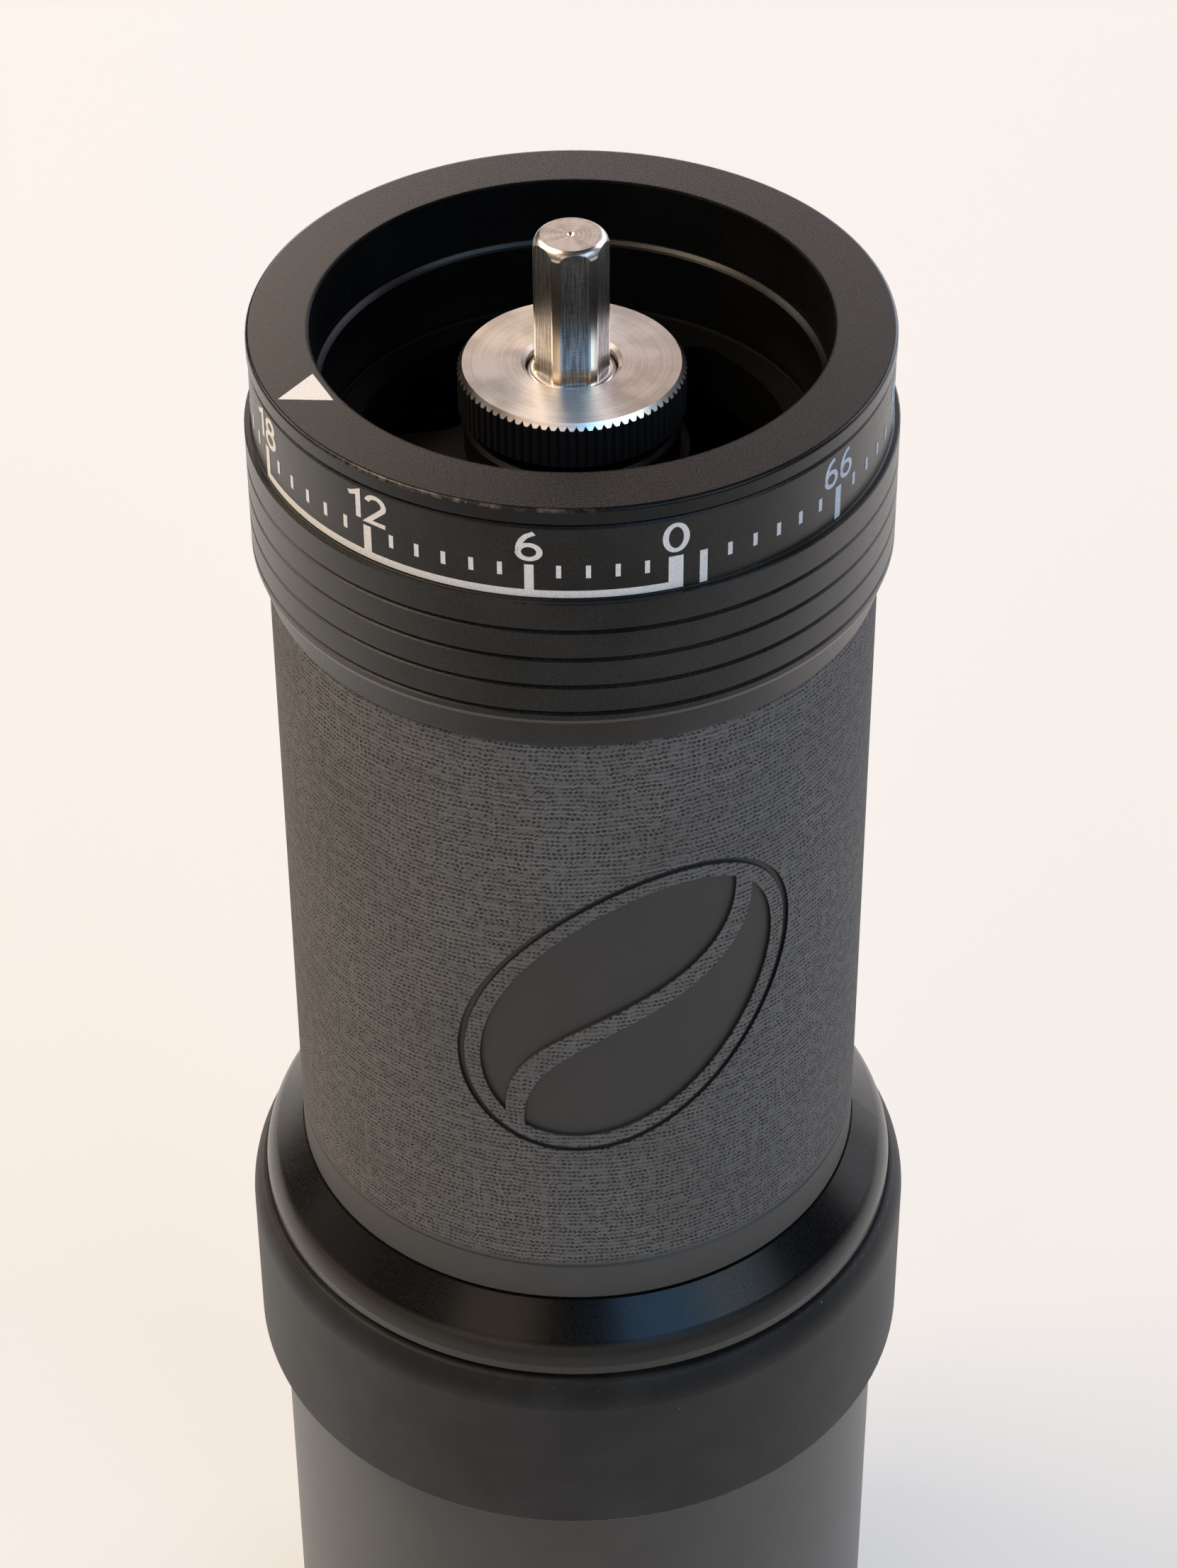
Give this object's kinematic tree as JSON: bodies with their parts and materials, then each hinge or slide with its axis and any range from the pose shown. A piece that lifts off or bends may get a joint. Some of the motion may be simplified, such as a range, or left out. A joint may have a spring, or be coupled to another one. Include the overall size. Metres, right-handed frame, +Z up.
{
  "type": "hand coffee grinder",
  "caption": "Hand coffee grinder body on its catch cup, with a numbered outside adjusting dial, open hopper, hexagonal drive shaft and conical burrs; lid and crank off.",
  "frame": {"origin": "centre of the foot pad's underside, on the shaft's axis", "axes": "+Z up along the shaft, -Y towards the front of the dial"},
  "size_m": [0.0654, 0.0654, 0.1845],
  "materials": {
    "pad_rubber": "matt moulded rubber",
    "cup_anodised": "satin dark grey anodised, bead blasted",
    "band_silicone": "matt silicone with fine dust",
    "plated_steel": "nickel plated",
    "black_anodised": "satin black anodised, bead blasted",
    "magnet": "nickel plated",
    "black_steel": "black oxide",
    "burr_steel": "ground tool steel",
    "sleeve_rubber": "linen textured rubber",
    "white_print": "white printed ink",
    "slip_polymer": "low friction polymer",
    "lift_brass": "machined",
    "stainless": "turned and milled stainless",
    "turned_steel": "face turned, dark knurled edge",
    "bearing_steel": "ground and polished",
    "cage_brass": "stamped",
    "spring_steel": "drawn wire"
  },
  "bodies": {
    "cup": {"catch_cup": "cup_anodised", "cup_grip_band": "band_silicone", "cup_catch_ring": "plated_steel", "base_pad": "pad_rubber"},
    "grinder_body": {"lower_collar": "black_anodised", "collar_magnets": "magnet", "burr_set_screws": "black_steel", "outer_burr": "burr_steel", "burr_spacer_ring": "black_anodised", "lower_frame": "black_anodised", "lower_outer_race": "bearing_steel", "barrel": "black_anodised", "grip_sleeve": "sleeve_rubber", "top_rim": "black_anodised", "index_mark": "white_print", "dial_slip_washer": "slip_polymer", "detent_spring_left": "spring_steel", "detent_spring_right": "spring_steel"},
    "dial": {"adjustment_dial": "black_anodised"},
    "carrier": {"bearing_carrier": "black_anodised", "lift_ring": "lift_brass", "lift_pins": "stainless", "upper_outer_race": "bearing_steel"},
    "shaft": {"drive_shaft": "stainless", "upper_inner_race": "bearing_steel", "spacer_sleeve": "stainless", "inner_burr": "burr_steel", "burr_washer": "stainless", "burr_screw": "black_steel"},
    "washer": {"thrust_washer": "stainless"},
    "nut": {"shaft_nut": "turned_steel"},
    "upper_ball_set": {"upper_cage": "cage_brass", "upper_balls": "bearing_steel"},
    "lower_ball_set": {"lower_cage": "cage_brass", "lower_balls": "bearing_steel"},
    "lower_race": {"lower_inner_race": "bearing_steel", "preload_spring": "spring_steel"},
    "detent_left": {"detent_ball_left": "bearing_steel"},
    "detent_right": {"detent_ball_right": "bearing_steel"}
  },
  "joints": [
    {"name": "cup_pull", "type": "slide", "parent": "cup", "child": "grinder_body", "axis": [0, 0, 1], "range_m": [0, 0.06]},
    {"name": "dial_turn", "type": "hinge", "parent": "grinder_body", "child": "dial", "pos_m": [0, 0, 0.16], "axis": [0, 0, 1], "range_deg": [-85, 275]},
    {"name": "carrier_lift", "type": "slide", "parent": "grinder_body", "child": "carrier", "axis": [0, 0, -1], "range_m": [-0.00024, 0.00076], "deforming": ["preload_spring"]},
    {"name": "crank_spin", "type": "hinge", "parent": "carrier", "child": "shaft", "pos_m": [0, 0, 0.1625], "axis": [0, 0, 1], "continuous": true},
    {"name": "upper_ball_roll", "type": "hinge", "parent": "carrier", "child": "upper_ball_set", "pos_m": [0, 0, 0.1625], "axis": [0, 0, 1], "continuous": true},
    {"name": "lower_race_spin", "type": "hinge", "parent": "grinder_body", "child": "lower_race", "pos_m": [0, 0, 0.0865], "axis": [0, 0, 1], "continuous": true},
    {"name": "lower_ball_roll", "type": "hinge", "parent": "grinder_body", "child": "lower_ball_set", "pos_m": [0, 0, 0.0865], "axis": [0, 0, 1], "continuous": true},
    {"name": "washer_lift", "type": "slide", "parent": "shaft", "child": "washer", "axis": [0, 0, 1], "range_m": [0, 0.004]},
    {"name": "nut_turn", "type": "hinge", "parent": "washer", "child": "nut", "pos_m": [0, 0, 0.1694], "axis": [0, 0, 1], "range_deg": [0, 1441]},
    {"name": "detent_left_travel", "type": "slide", "parent": "grinder_body", "child": "detent_left", "axis": [-1, 0, 0], "range_m": [0, 0.00025], "stiffness_N_per_m": 400, "springref_m": 0.00025},
    {"name": "detent_right_travel", "type": "slide", "parent": "grinder_body", "child": "detent_right", "axis": [1, 0, 0], "range_m": [0, 0.00025], "stiffness_N_per_m": 400, "springref_m": 0.00025}
  ],
  "couplings": [
    {"joint": "dial_turn", "follows": "carrier_lift", "rad_per_m": 6283.2},
    {"joint": "upper_ball_roll", "follows": "crank_spin", "ratio": 0.41667},
    {"joint": "lower_race_spin", "follows": "crank_spin", "ratio": 1},
    {"joint": "lower_ball_roll", "follows": "crank_spin", "ratio": 0.41667},
    {"joint": "nut_turn", "follows": "washer_lift", "rad_per_m": 6283.2}
  ]
}
